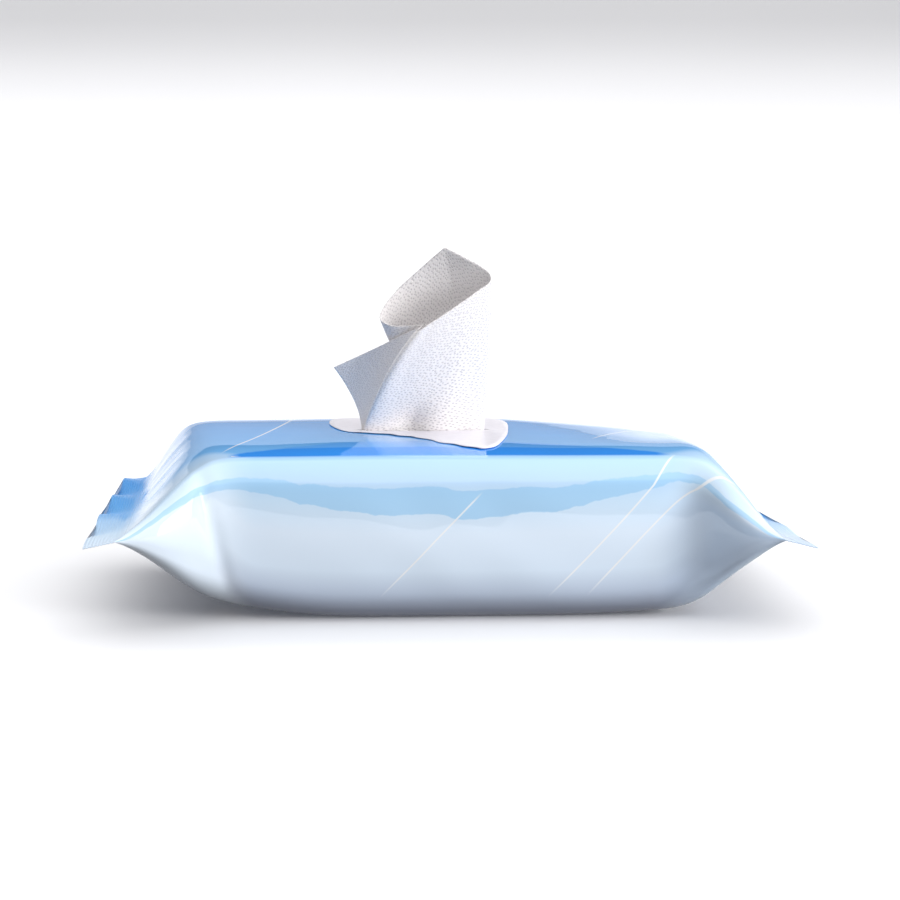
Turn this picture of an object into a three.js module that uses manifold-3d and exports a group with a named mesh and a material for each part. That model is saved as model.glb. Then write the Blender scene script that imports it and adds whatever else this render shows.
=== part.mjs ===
// A soft flow-wrapped pack of interfolded wet wipes, with the top wipe drawn up through the slit.
//
// The pack is a tube of printed film, crimped flat at both ends and lap sealed along its base. The film is
// one piece: a thin hollow shell whose only opening is the dispensing slit. A die-cut label with the same slit
// is stuck round it. Inside lies the stack of folded wipes, each folded once and interleaved with the next,
// squeezed by the film to the pack's own rounded form. The drawn wipe stands above the slit as one curled
// sheet, and the rest of it lies flat on top of the stack.
//
// Millimetres, +Z up, +X along the pack, -Y towards the front. The origin is on the surface that the pack
// rests on, under the middle of its bounding box.
import * as THREE from "three";
import { mergeVertices } from "three/addons/utils/BufferGeometryUtils.js";
import Module from "manifold-3d";

const wasm = await Module();
wasm.setup();

// ---- Driving dimensions ----

const pack = {
  height: 53.8, // of the tube over the stack, without its dome and the lap seal under it
  halfWidth: 51,
  sealHalfWidth: 75, // half the width of the tube pressed flat
  cornerRadius: 9,
  sideBulge: 1.8, // the front and back swell by this much at half height
  topDome: 0.5,
  taperEase: 0.4, // 0 is a straight taper from the stack to the seal, 1 an S-curve
  flatShare: 0.35, // share of the half length over which the base is flat
};

// Each end: where the stack's edge, the seal's root and the seal's tip lie, on the front and on the back.
const leftEnd = {
  sign: -1,
  stack: [75, 88],
  root: [105, 106],
  tip: [115.3, 113],
  sealHeight: [31, 28.5],
  baseRise: 5.5,
  backFall: 0.4,
  frontDroop: 2.4,
};
const rightEnd = {
  sign: 1,
  stack: [78, 77],
  root: [105, 93],
  tip: [115.3, 105],
  sealHeight: [30, 29],
  baseRise: 2,
  backFall: 6,
  frontDroop: 3,
};

const film = { thickness: 0.3, seal: 0.6 };
const lap = { halfWidth: 7, step: 0.2, thickness: 0.2 };
const slit = { x: -6.6, y: 4.5, halfLength: 24.5, halfWidth: 3.4 };
const label = {
  thickness: 0.25,
  glue: 0.15,
  slitMargin: 0.6,
  turns: 52,
  // The outline from the left end round the front, measured from the slit's middle. Its front edge slants.
  outline: [
    [-29, 3.5],
    [-24.5, -4],
    [-15, -8],
    [-8, -13.5],
    [-2, -19],
    [4.5, -29],
    [11, -34.5],
    [17.5, -39.5],
    [23, -35.5],
    [27, -18],
    [29, 1],
    [29.5, 22],
    [25, 32.5],
    [12, 35],
    [-18, 35],
    [-29.5, 32.5],
    [-32, 19],
  ],
};
const wipe = {
  halfLength: 74.5, // half of the 149 mm that the folded wipe measures along the pack
  halfWidth: 48.4,
  fold: 0.45, // thickness of the wall at a fold
  edgeGap: 0.7, // between a free edge and the fold that it faces
  fill: 0.8, // share of the pitch that the cloth fills
};
const stack = { count: 47, topGap: 2.4, baseGap: 0.35 };
const layers = { edgeSlope: 0.5, rings: [-1, -0.66, 0, 0.66, 1] };
const drawn = { thickness: 0.8, tailTop: 0.5, tailThickness: 1.2, tailHalfLength: 73, tailHalfWidth: 46 };

// ---- The film's form ----

const mix = (a, b, t) => a + (b - a) * t;
const clamp01 = (t) => Math.min(Math.max(t, 0), 1);
const ease = (t) => t * t * (3 - 2 * t);

// One cross-section at station u: 0 is the middle, 1 the stack's edge, 2 the seal's root and 3 its tip,
// negative to the left. inset moves the outline inwards, for the cavity.
function sectionAt(u, inset) {
  const end = u < 0 ? leftEnd : rightEnd;
  const along = Math.abs(u);
  const taper = clamp01(along - 1);
  const closing = mix(taper, ease(taper), pack.taperEase);
  const inStack = Math.min(along, 1);
  const sealMiddle = (end.sealHeight[0] + end.sealHeight[1]) / 2;
  const lift = clamp01((inStack - pack.flatShare) / (1 - pack.flatShare)) ** 2;
  const top = mix(pack.height, sealMiddle + film.seal / 2, closing) - inset;
  const base = mix(end.baseRise * lift, sealMiddle - film.seal / 2, closing) + inset;
  const half = Math.max((top - base) / 2, 0.03);
  return {
    end,
    along,
    taper,
    inStack,
    middle: (top + base) / 2,
    halfHeight: half,
    halfWidth: mix(pack.halfWidth, pack.sealHalfWidth, taper) - inset,
    radius: Math.max(Math.min(mix(pack.cornerRadius, film.seal / 2, taper) - inset, 0.9 * half), 0.01),
    inset,
  };
}

// Places a point of a section's outline in the pack: the ends slant, the top domes and falls, the seals droop.
function place(section, y, z) {
  const { end, along, taper, inStack, middle, halfHeight, halfWidth } = section;
  const across = clamp01((y / halfWidth + 1) / 2);
  const reach = (pair) => mix(pair[0], pair[1], across);
  const x =
    along <= 1
      ? reach(end.stack) * along
      : along <= 2
        ? mix(reach(end.stack), reach(end.root), along - 1)
        : mix(reach(end.root), reach(end.tip), along - 2);
  const up = clamp01(z / halfHeight);
  const dome = pack.topDome * (1 - (y / halfWidth) ** 2) * (1 - taper) * up;
  // Over the stack only the top falls. Towards the seal the base follows it, so that the two films meet.
  const fall = end.backFall * inStack ** 2 * across * (1 - 0.7 * taper) * mix(up, 1, taper);
  const bulge = pack.sideBulge * (1 - (z / halfHeight) ** 2) * (1 - taper) * (y / halfWidth) ** 15;
  const sealTilt = (across - 0.5) * (end.sealHeight[1] - end.sealHeight[0]) * taper;
  const droop = end.frontDroop * clamp01(along - 2) * (1 - across) ** 3;
  return [end.sign * x, y + bulge, middle + z + dome - fall + sealTilt - droop];
}

// The outline of a section, from the front side round the top: every section has the same number of points.
function outline(section, withLap) {
  const { halfWidth: a, halfHeight: b, radius: r } = section;
  const { halfWidth: w, step: s } = lap;
  const arcSteps = 4;
  const sidePoint = a + 0.02;
  const cuts = [-0.62, -0.32].map((share) => share * (a - r));
  const acrossTop = [...cuts, -w - s, -w, w, w + s, -cuts[1], -cuts[0]];
  const drop = withLap ? lap.thickness * (1 - section.taper) : 0;
  const lapDrop = [0, 0, 0, drop, drop, 0, 0, 0];
  const arc = (cy, cz, from) =>
    Array.from({ length: arcSteps + 1 }, (_, k) => {
      const angle = from - (k / arcSteps) * (Math.PI / 2);
      return [cy + r * Math.cos(angle), cz + r * Math.sin(angle)];
    });
  return [
    ...arc(r - a, b - r, Math.PI),
    ...acrossTop.map((y) => [y, b]),
    ...arc(a - r, b - r, Math.PI / 2),
    [sidePoint, 0],
    ...arc(a - r, r - b, 0),
    ...acrossTop.map((y, i) => [y, -b - lapDrop[i]]).reverse(),
    ...arc(r - a, r - b, -Math.PI / 2),
    [-sidePoint, 0],
  ];
}

// ---- Meshes to solids and back ----

function geometryOf(points, triangles) {
  const geometry = new THREE.BufferGeometry();
  geometry.setAttribute("position", new THREE.Float32BufferAttribute(points.flat(), 3));
  geometry.setIndex(triangles.flat());
  return geometry;
}

// A closed skin through rings that all have the same even number of points. The two halves of the first ring
// and of the last run side by side, so each end is closed by a strip between them. Every face is split along
// the same diagonal in plan, so that layers that lie on each other never cross.
function skinOf(rings) {
  const n = rings[0].length;
  const triangles = [];
  for (let i = 0; i + 1 < rings.length; i++)
    for (let j = 0; j < n; j++) {
      const next = (j + 1) % n;
      const [a, b] = [i * n + j, i * n + next];
      const [c, d] = [a + n, b + n];
      if (rings[i][j][1] < rings[i][next][1]) triangles.push([a, b, c], [b, d, c]);
      else triangles.push([a, b, d], [a, d, c]);
    }
  const last = (rings.length - 1) * n;
  for (let i = 0; i < Math.floor((n - 1) / 2); i++) {
    const [p, q, r, s] = [i, i + 1, n - 2 - i, n - 1 - i];
    triangles.push([r, q, p], [s, r, p]);
    triangles.push([last + p, last + q, last + r], [last + p, last + r, last + s]);
  }
  return geometryOf(rings.flat(), triangles);
}

function solidOf(geometry) {
  const bare = new THREE.BufferGeometry();
  const source = geometry.index ? geometry.toNonIndexed() : geometry;
  bare.setAttribute("position", source.getAttribute("position"));
  const merged = mergeVertices(bare, 1e-4);
  const mesh = { vertProperties: merged.attributes.position.array, triVerts: new Uint32Array(merged.index.array) };
  const made = new wasm.Manifold(new wasm.Mesh({ numProp: 3, ...mesh }));
  if (made.volume() > 0) return made;
  for (let i = 0; i < mesh.triVerts.length; i += 3)
    [mesh.triVerts[i + 1], mesh.triVerts[i + 2]] = [mesh.triVerts[i + 2], mesh.triVerts[i + 1]];
  return new wasm.Manifold(new wasm.Mesh({ numProp: 3, ...mesh }));
}

function geometryFrom(solid) {
  const { vertProperties, numProp, triVerts, numVert } = solid.getMesh();
  const position = new Float32Array(numVert * 3);
  for (let i = 0; i < numVert; i++) position.set(vertProperties.subarray(i * numProp, i * numProp + 3), i * 3);
  const geometry = new THREE.BufferGeometry();
  geometry.setAttribute("position", new THREE.BufferAttribute(position, 3));
  geometry.setIndex(new THREE.BufferAttribute(new Uint32Array(triVerts), 1));
  return geometry;
}

// ---- Film ----

function stations(limit) {
  const half = [0.18, 0.35, 0.5, 0.65, 0.8, 0.92, 1, 1.1, 1.25, 1.4, 1.55, 1.7, 1.82, 1.92];
  const inside = half.filter((u) => u < limit - 0.02);
  const outside = limit > 2 ? [2, 2.35, 2.7, limit] : [limit];
  const right = [...inside, ...outside];
  return [...right.map((u) => -u).reverse(), 0, ...right];
}

function pillow(limit, inset, withLap) {
  const rings = stations(limit).map((u) => {
    const section = sectionAt(u, inset);
    return outline(section, withLap).map(([y, z]) => place(section, y, z));
  });
  return skinOf(rings);
}

// The lens-shaped slit, as an upright prism through the top of the pack.
function slitPrism() {
  const { x, y, halfLength: l, halfWidth: w } = slit;
  const radius = (l * l + w * w) / (2 * w);
  const turn = Math.asin(l / radius);
  const shape = new THREE.Shape();
  shape.absarc(x, y - radius + w, radius, Math.PI / 2 + turn, Math.PI / 2 - turn, true);
  shape.absarc(x, y + radius - w, radius, -Math.PI / 2 + turn, -Math.PI / 2 - turn, true);
  const depth = 12;
  return new THREE.ExtrudeGeometry(shape, { depth, bevelEnabled: false, curveSegments: 10 }).translate(
    0,
    0,
    pack.height - depth / 2,
  );
}

function filmGeometry() {
  const cavityEnd = 1.97; // the two films meet here, just inside the seal's root
  const lapLift = lap.thickness; // the film lies on its lap seal, so the rest of the base is this much higher
  const shell = solidOf(pillow(3, 0, true).translate(0, 0, lapLift));
  const cavity = solidOf(pillow(cavityEnd, film.thickness, false).translate(0, 0, lapLift));
  return geometryFrom(shell.subtract(cavity).subtract(solidOf(slitPrism())));
}

// ---- Heights over and under the stack, used by all that lies on or under the film ----

const bend = pack.halfWidth - pack.cornerRadius; // the film turns down towards its sides from here on

function shareOfStack(x, y) {
  const end = x < 0 ? leftEnd : rightEnd;
  const across = (y / pack.halfWidth + 1) / 2;
  return { end, across, inStack: Math.abs(x) / mix(end.stack[0], end.stack[1], across) };
}

function filmTop(x, y) {
  const { end, across, inStack } = shareOfStack(x, y);
  const dome = pack.topDome * (1 - (y / pack.halfWidth) ** 2);
  return lap.thickness + pack.height + dome - end.backFall * inStack ** 2 * across;
}

function filmBase(x, y) {
  const { end, inStack } = shareOfStack(x, y);
  return lap.thickness + end.baseRise * clamp01((inStack - pack.flatShare) / (1 - pack.flatShare)) ** 2;
}

// Layers inside follow the film's flat part, and slope away from its rounded edges beyond the bend.
const held = (y) => Math.min(Math.max(y, -bend), bend);
const slope = (y) => layers.edgeSlope * Math.abs(y - held(y));
const roof = (x, y) => filmTop(x, held(y)) - film.thickness - slope(y);
const floor = (x, y) => filmBase(x, held(y)) + film.thickness + slope(y);

// ---- Label ----

// The edge of the label's own slit, seen from its middle at the given angle: a margin wider than the film's.
function slitEdge(angle) {
  const [c, s] = [Math.cos(angle), Math.sin(angle)];
  const reach = (half, share) => (half + label.slitMargin) * Math.sign(share) * Math.abs(share) ** 1.35;
  return [reach(slit.halfLength, c), reach(slit.halfWidth, s)];
}

function labelGeometry() {
  const { turns } = label;
  const rings = 3;
  const corners = label.outline.map(([x, y]) => new THREE.Vector3(x, y, 0));
  const edge = new THREE.CatmullRomCurve3(corners, true).getSpacedPoints(turns);
  const points = [];
  for (const height of [label.glue, label.glue + label.thickness])
    for (let i = 0; i <= rings; i++)
      for (let j = 0; j < turns; j++) {
        const [sx, sy] = slitEdge(Math.atan2(edge[j].y / slit.halfWidth, edge[j].x / slit.halfLength));
        const x = slit.x + mix(sx, edge[j].x, i / rings);
        const y = slit.y + mix(sy, edge[j].y, i / rings);
        points.push([x, y, filmTop(x, y) + height]);
      }
  const layer = (rings + 1) * turns;
  const triangles = [];
  const quad = (a, b, c, d) => triangles.push([a, b, c], [a, c, d]);
  for (let j = 0; j < turns; j++) {
    const k = (j + 1) % turns;
    for (let i = 0; i < rings; i++) {
      const [p, q] = [i * turns, (i + 1) * turns];
      quad(layer + p + j, layer + q + j, layer + q + k, layer + p + k);
      quad(p + j, p + k, q + k, q + j);
    }
    const outer = rings * turns;
    quad(outer + j, outer + k, layer + outer + k, layer + outer + j);
    quad(j, layer + j, layer + k, k);
  }
  return geometryOf(points, triangles);
}

// ---- Wipes in the stack ----

// A folded wipe's section, as points of (y, level). Level 0 is the top of the stack and one level is one
// thickness of cloth. The wipe has one layer at each of two levels, and a fold joins them on one side.
function foldedSection(upper, lower, side) {
  const gap = (1 - wipe.fill) / 2;
  const [topFace, topUnder] = [upper + gap, upper + 1 - gap];
  const [lowFace, lowUnder] = [lower + gap, lower + 1 - gap];
  const free = -(wipe.halfWidth - wipe.fold - wipe.edgeGap);
  const back = wipe.halfWidth;
  const inner = wipe.halfWidth - wipe.fold;
  const run = (level, from, to) => [from, ...(from < to ? [-bend, bend] : [bend, -bend]), to].map((y) => [y, level]);
  return [
    ...run(topFace, free, back),
    ...run(lowUnder, back, free),
    ...run(lowFace, free, inner),
    ...run(topUnder, inner, free),
  ].map(([y, level]) => [side * y, level]);
}

// One folded wipe. Levels turn to heights here: the stack fills the room between the film's base and its top.
function stackedWipe(index) {
  const levels = 2 * stack.count;
  const upper = index === 0 ? 0 : 2 * index - 1;
  const lower = index === stack.count - 1 ? 2 * index + 1 : 2 * index + 2;
  const section = foldedSection(upper, lower, index % 2 === 0 ? 1 : -1);
  const height = (x, y, level) => mix(roof(x, y) - stack.topGap, floor(x, y) + stack.baseGap, level / levels);
  const ring = (x) => section.map(([y, level]) => [x, y, height(x, y, level)]);
  return geometryFrom(solidOf(skinOf(layers.rings.map((share) => ring(share * wipe.halfLength)))));
}

// ---- The drawn wipe ----

// The sheet above the slit, followed along its winding: a wing on the left, the front panel, a turn on the
// right, the back panel that rises into the top flap, a curl on the left and a last layer inside the roll.
// Each stop gives the top edge's point, the point where that line of the cloth leaves the slit, and how far
// the line between them bows in x and in y. All are measured from the slit's middle, except heights, and a
// foot's y is a share of the room that the slit leaves there.
const winding = [
  { top: [-30.3, 4.5, 75.8], foot: [-20.9, 0.6], bow: [3.2, 1] },
  { top: [-16.4, -1.9, 82.4], foot: [-20.6, 0], bow: [-0.4, 0.4] },
  { top: [-2.7, -8.5, 89], foot: [-20.2, -0.6], bow: [-2.7, -1.4] },
  { top: [9.1, -7.1, 96.6], foot: [-6.4, -0.9], bow: [0, -2] },
  { top: [21.8, -4.5, 104.8], foot: [19.8, -0.9], bow: [0.2, -0.6] },
  { top: [23, -1.1, 106.6], foot: [20.9, 0], bow: [0.6, 0] },
  { top: [21.8, 2.1, 109.4], foot: [19.8, 0.9], bow: [0.2, 1] },
  { top: [7.8, 8.5, 116.2], foot: [15.1, 0.9], bow: [1, 3] },
  { top: [-7.4, 12, 102.2], foot: [10.2, 0.8], bow: [-1, 3] },
  { top: [-14.3, 7.5, 94], foot: [7, 0.6], bow: [-2, 2] },
  { top: [-14.1, 2.7, 91.4], foot: [5.8, 0.2], bow: [-1, 1.4] },
  { top: [-3.4, 0.1, 90], foot: [9.2, -0.1], bow: [0, 0.6] },
  { top: [7.6, -0.3, 91], foot: [14.6, -0.1], bow: [0, 0.4] },
];

// The cloth's middle surface: along runs over the winding's stops, and rise from the slit to the top edge.
function sheetPoint(along, rise, footHeight) {
  const at = Math.min(Math.floor(along), winding.length - 2);
  const between = (key, axis) => mix(winding[at][key][axis], winding[at + 1][key][axis], along - at);
  const footX = between("foot", 0);
  const room = slit.halfWidth * (1 - (footX / slit.halfLength) ** 2) - 0.85 * drawn.thickness;
  const bow = 4 * rise * (1 - rise);
  return [
    slit.x + mix(footX, between("top", 0), rise) + bow * between("bow", 0),
    slit.y + mix(between("foot", 1) * room, between("top", 1), rise ** 1.3) + bow * between("bow", 1),
    mix(footHeight, between("top", 2), rise),
  ];
}

// One solid strip for every step along the winding, from the slit to the top edge.
function drawnStrips(footHeight) {
  const steps = 2 * (winding.length - 1);
  const up = 7;
  const point = (i, j) => new THREE.Vector3(...sheetPoint(i / 2, j / up, footHeight));
  const faces = (i, j) => {
    const along = point(Math.min(i + 0.3, steps), j).sub(point(Math.max(i - 0.3, 0), j));
    const rising = point(i, Math.min(j + 0.3, up)).sub(point(i, Math.max(j - 0.3, 0)));
    const half = along.cross(rising).setLength(drawn.thickness / 2);
    return [point(i, j).sub(half).toArray(), point(i, j).add(half).toArray()];
  };
  return Array.from({ length: steps }, (_, i) => {
    const rings = [];
    for (let j = 0; j <= up; j++) {
      const [[a, b], [c, d]] = [faces(i, j), faces(i + 1, j)];
      rings.push([a, c, d, b]);
    }
    return solidOf(skinOf(rings));
  });
}

// The part of the drawn wipe that is still inside: one flat layer between the stack and the film.
function drawnTail() {
  const { tailHalfLength: l, tailHalfWidth: w, tailTop, tailThickness } = drawn;
  const across = [-w, -bend, bend, w];
  const rings = layers.rings.map((share) => {
    const layer = (depth) => across.map((y) => [share * l, y, roof(share * l, y) - depth]);
    return [...layer(tailTop), ...layer(tailTop + tailThickness).reverse()];
  });
  return skinOf(rings);
}

// Where layers of the roll touch they join. The small pockets shut in between them are left out, so that the
// wipe is one solid with one skin.
function drawnWipe() {
  const { tailTop, tailThickness } = drawn;
  const footHeight = roof(slit.x, bend) - tailTop - tailThickness / 2;
  const whole = drawnStrips(footHeight).reduce((joined, strip) => joined.add(strip), solidOf(drawnTail()));
  const skins = whole.decompose().sort((a, b) => b.volume() - a.volume());
  return geometryFrom(skins[0]);
}

// ---- The pack ----

const colours = {
  film: new THREE.MeshStandardMaterial({ color: 0xa9d0f0, roughness: 0.15, metalness: 0 }),
  label: new THREE.MeshStandardMaterial({ color: 0xf8f6fc, roughness: 0.3, metalness: 0 }),
  wipe: new THREE.MeshStandardMaterial({ color: 0xefedf2, roughness: 0.9, metalness: 0 }),
};

const wetWipesPack = new THREE.Group();

function addPiece(name, geometry, material) {
  const mesh = new THREE.Mesh(geometry, material);
  mesh.name = name;
  wetWipesPack.add(mesh);
}

addPiece("film_wrap", filmGeometry(), colours.film);
addPiece("dispensing_label", geometryFrom(solidOf(labelGeometry())), colours.label);
addPiece("drawn_wipe", drawnWipe(), colours.wipe);
for (let index = 0; index < stack.count; index++)
  addPiece(`folded_wipe_${String(index + 1).padStart(2, "0")}`, stackedWipe(index), colours.wipe);

export default wetWipesPack;
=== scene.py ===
"""A soft flow-wrapped pack of wet wipes, with the top wipe drawn up through the slit.

The printed film, its label, the drawn wipe and the folded wipes inside are made here in place of the plain
CAD solids, in the same frame. Sizes are in millimetres and turn to metres where a mesh is made.
"""

import math

import bpy
import numpy as np
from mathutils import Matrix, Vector


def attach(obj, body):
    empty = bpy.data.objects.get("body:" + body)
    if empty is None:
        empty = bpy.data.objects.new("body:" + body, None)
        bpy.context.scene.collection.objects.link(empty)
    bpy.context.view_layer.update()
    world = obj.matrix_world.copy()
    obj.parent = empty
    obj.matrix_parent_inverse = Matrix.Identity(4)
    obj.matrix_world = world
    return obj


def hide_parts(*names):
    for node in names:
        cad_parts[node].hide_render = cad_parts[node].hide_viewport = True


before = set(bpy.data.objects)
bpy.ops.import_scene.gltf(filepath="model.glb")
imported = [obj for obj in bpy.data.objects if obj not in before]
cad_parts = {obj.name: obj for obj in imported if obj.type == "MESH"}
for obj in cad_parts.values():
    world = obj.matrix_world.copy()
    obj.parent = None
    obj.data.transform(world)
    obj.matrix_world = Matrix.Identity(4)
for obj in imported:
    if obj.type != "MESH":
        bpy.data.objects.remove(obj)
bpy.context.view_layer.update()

MM = 0.001

# ---- Sizes ----

PACK_TOP = 54.0
HALF_WIDTH = 51.0
SEAL_HALF_WIDTH = 75.0
CORNER = 9.0
BEND = HALF_WIDTH - CORNER
FLAT_SHARE = 0.35
SEAL = 0.4
LAP = 0.2

# Each end's stack edge, seal root and seal tip on the front and on the back, and how its film hangs.
LEFT = dict(
    sign=-1, stack=(75, 88), root=(105, 106), tip=(115, 112.6), seal_height=(31, 28.5),
    base_rise=5.5, back_fall=0.4, puff=1.0, droop=2.2, wave=1.5, waves=3.6, phase=0.4,
)
RIGHT = dict(
    sign=1, stack=(78, 77), root=(105, 93), tip=(115, 105), seal_height=(30, 22.5),
    base_rise=2.0, back_fall=6.0, puff=8.5, droop=2.6, wave=0.5, waves=3.2, phase=2.0,
)

FILM_DOME = 0.55
OVER_STACK = 50.0
FILM_WALL = 0.1
LABEL_WALL = 0.18
DRAWN_CLOTH = 0.38
FOLDED_CLOTH = 0.3

SLIT = dict(x=-6.6, y=4.5, half_length=24.5, half_width=3.4)
STACK_COUNT = 47

# The print's map round the film starts and ends in the middle of the underside. The front ridge is 0.
PRINT_START = -105.0
PRINT_END = 207.0


def mix(a, b, t):
    return a + (b - a) * t


def clamp01(t):
    return np.clip(t, 0.0, 1.0)


def ease(t):
    return t * t * (3 - 2 * t)


# ---- Meshes and pieces ----


def make_mesh(name, points_mm, faces, material, uv=None):
    """A smooth-shaded piece from points in millimetres. uv holds one (u, v) for each corner of each face."""
    mesh = bpy.data.meshes.new(name)
    mesh.from_pydata((np.asarray(points_mm) * MM).tolist(), [], faces)
    if uv is not None:
        layer = mesh.uv_layers.new(name="cloth")
        layer.data.foreach_set("uv", np.asarray(uv, np.float32).ravel())
    mesh.polygons.foreach_set("use_smooth", [True] * len(mesh.polygons))
    mesh.materials.append(material)
    mesh.validate()
    piece = bpy.data.objects.new(name, mesh)
    bpy.context.scene.collection.objects.link(piece)
    return piece


def grid_faces(rows, columns, closed=False):
    """Faces over a grid of points stored row by row. closed joins the last column to the first."""
    faces = []
    for i in range(rows - 1):
        for j in range(columns if closed else columns - 1):
            k = (j + 1) % columns
            here, there = i * columns, (i + 1) * columns
            faces.append((here + j, there + j, there + k, here + k))
    return faces


def thicken(piece, thickness_mm, offset):
    """Gives a sheet its thickness. offset -1 keeps the outer face in place and 0 keeps the middle."""
    wall = piece.modifiers.new("wall", "SOLIDIFY")
    wall.thickness = thickness_mm * MM
    wall.offset = offset
    wall.use_even_offset = False
    return piece


def set_inputs(modifier, values):
    """Sets a node tree's named inputs on the modifier that uses it."""
    named = {i.name: i.identifier for i in modifier.node_group.interface.items_tree if i.in_out == "INPUT"}
    for name, value in values.items():
        modifier[named[name]] = value


def plain_copy(piece, name):
    """The piece with its modifiers worked out, as an object with a plain mesh."""
    graph = bpy.context.evaluated_depsgraph_get()
    mesh = bpy.data.meshes.new_from_object(piece.evaluated_get(graph))
    mesh.name = name
    made = bpy.data.objects.new(name, mesh)
    bpy.context.scene.collection.objects.link(made)
    bpy.data.objects.remove(piece)
    made.name = name
    return made


# ---- Materials ----


def ink(code):
    """An sRGB hex colour as linear RGBA."""
    parts = [int(code[i : i + 2], 16) / 255 for i in (1, 3, 5)]
    return tuple(c / 12.92 if c <= 0.04045 else ((c + 0.055) / 1.055) ** 2.4 for c in parts) + (1.0,)


def add(tree, kind, links=None, out=0, stops=None, **settings):
    """Adds a node with its settings, fills or links its inputs, and returns one output. A colour ramp also
    takes its stops, as (position, hex)."""
    node = tree.nodes.new(kind)
    for key, value in settings.items():
        setattr(node, key, value)
    for key, value in (links or {}).items():
        if isinstance(value, bpy.types.NodeSocket):
            tree.links.new(value, node.inputs[key])
        else:
            node.inputs[key].default_value = value
    if stops:
        elements = node.color_ramp.elements
        while len(elements) < len(stops):
            elements.new(0.5)
        for element, (position, code) in zip(elements, stops):
            element.position = position
            element.color = ink(code)
    return node.outputs[out] if len(node.outputs) else node


def new_material(name):
    material = bpy.data.materials.new(name)
    material.use_nodes = True
    tree = material.node_tree
    return material, tree, tree.nodes["Principled BSDF"]


def ground_print_and_painted_light(tree, u, v):
    """The ground colour: blue on top, paler below the ridge, with painted shade darkening the lower edges
    front and back. Towards both ends the pale colours are drawn back over the ridge as a painted highlight,
    and drawn back further on both seals.
    """
    # Painted highlight: towards both ends the pale colours below the ridge are drawn back over it, to stand
    # for the light along the end ridges.
    out = add(tree, "ShaderNodeMath", {0: u}, operation="ABSOLUTE")
    out = add(tree, "ShaderNodeMapRange", {0: out, 1: 66.0, 2: 88.0}, interpolation_type="SMOOTHSTEP")
    out = add(tree, "ShaderNodeMath", {0: out, 1: -15.0, 2: v}, operation="MULTIPLY_ADD")
    for inner, outer, shift in ((88.0, 104.0, -28.0), (-94.0, -108.0, -14.0)):
        on_seal = add(tree, "ShaderNodeMapRange", {0: u, 1: inner, 2: outer, 4: shift})
        out = add(tree, "ShaderNodeMath", {0: out, 1: on_seal}, operation="ADD")
    place = add(tree, "ShaderNodeMapRange", {0: out, 1: PRINT_START, 2: PRINT_END})
    # The darker band round the lower edges, front and back, is painted shade.
    return add(
        tree,
        "ShaderNodeValToRGB",
        {"Fac": place},
        stops=[
            (0.0, "#c6cedb"), (0.145, "#b4bac8"), (0.166, "#8f97ac"), (0.186, "#b9c7dc"), (0.215, "#d8e8f9"),
            (0.26, "#dcebfb"), (0.30, "#cde5fa"), (0.325, "#bddbf8"), (0.345, "#b2d6f9"), (0.362, "#74b6f0"),
            (0.45, "#64acec"), (0.63, "#529de4"), (0.67, "#9cc9ee"), (0.75, "#c4daec"), (0.82, "#b4bac8"),
            (1.0, "#c6cedb"),
        ],
    )


def print_wave(tree, colour, v, wobble, arch):
    """A wave of slightly deeper blue hangs below the front ridge, with wavy edges, and sinks mid-pack."""
    depth = add(tree, "ShaderNodeMath", {0: arch, 1: 12.5}, operation="MULTIPLY")
    depth = add(tree, "ShaderNodeMath", {0: wobble, 1: 8.0, 2: depth}, operation="MULTIPLY_ADD")
    above = add(tree, "ShaderNodeMath", {0: v, 1: depth}, operation="ADD")
    above = add(tree, "ShaderNodeMapRange", {0: above, 1: -1.4, 2: -0.8}, interpolation_type="SMOOTHSTEP")
    edge = add(tree, "ShaderNodeMath", {0: arch, 1: 4.5}, operation="MULTIPLY")
    edge = add(tree, "ShaderNodeMath", {0: wobble, 1: 6.0, 2: edge}, operation="MULTIPLY_ADD")
    below = add(tree, "ShaderNodeMath", {0: v, 1: edge}, operation="ADD")
    below = add(tree, "ShaderNodeMapRange", {0: below, 1: 0.9, 2: 0.4}, interpolation_type="SMOOTHSTEP")
    wave = add(tree, "ShaderNodeMath", {0: above, 1: below}, operation="MULTIPLY")
    wave = add(tree, "ShaderNodeMath", {0: wave, 1: 0.75}, operation="MULTIPLY")
    return add(tree, "ShaderNodeMix", {0: wave, 6: colour, 7: ink("#a0cff3")}, out=2, data_type="RGBA")


def print_lens(tree, colour, v, wobble, arch):
    """A long lens of deeper ink just behind the front ridge, with a paler part behind it."""
    reach = add(tree, "ShaderNodeMath", {0: arch, 1: 23.0}, operation="MULTIPLY")
    reach = add(tree, "ShaderNodeMath", {0: wobble, 1: 7.0, 2: reach}, operation="MULTIPLY_ADD")
    inside = add(tree, "ShaderNodeMath", {0: reach, 1: v}, operation="SUBTRACT")
    inside = add(tree, "ShaderNodeMapRange", {0: inside, 1: -5.0, 2: -2.0}, interpolation_type="SMOOTHSTEP")
    behind_ridge = add(tree, "ShaderNodeMapRange", {0: v, 1: 4.0, 2: 6.0}, interpolation_type="SMOOTHSTEP")
    strength = add(tree, "ShaderNodeMapRange", {0: v, 1: 16.0, 2: 18.0, 3: 1.0, 4: 0.42})
    in_pack = add(tree, "ShaderNodeMapRange", {0: arch, 1: 0.0, 2: 0.12})
    deep = add(tree, "ShaderNodeMath", {0: inside, 1: behind_ridge}, operation="MULTIPLY")
    deep = add(tree, "ShaderNodeMath", {0: deep, 1: strength}, operation="MULTIPLY")
    deep = add(tree, "ShaderNodeMath", {0: deep, 1: in_pack}, operation="MULTIPLY")
    return add(tree, "ShaderNodeMix", {0: deep, 6: colour, 7: ink("#2f90ee")}, out=2, data_type="RGBA")


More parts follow.
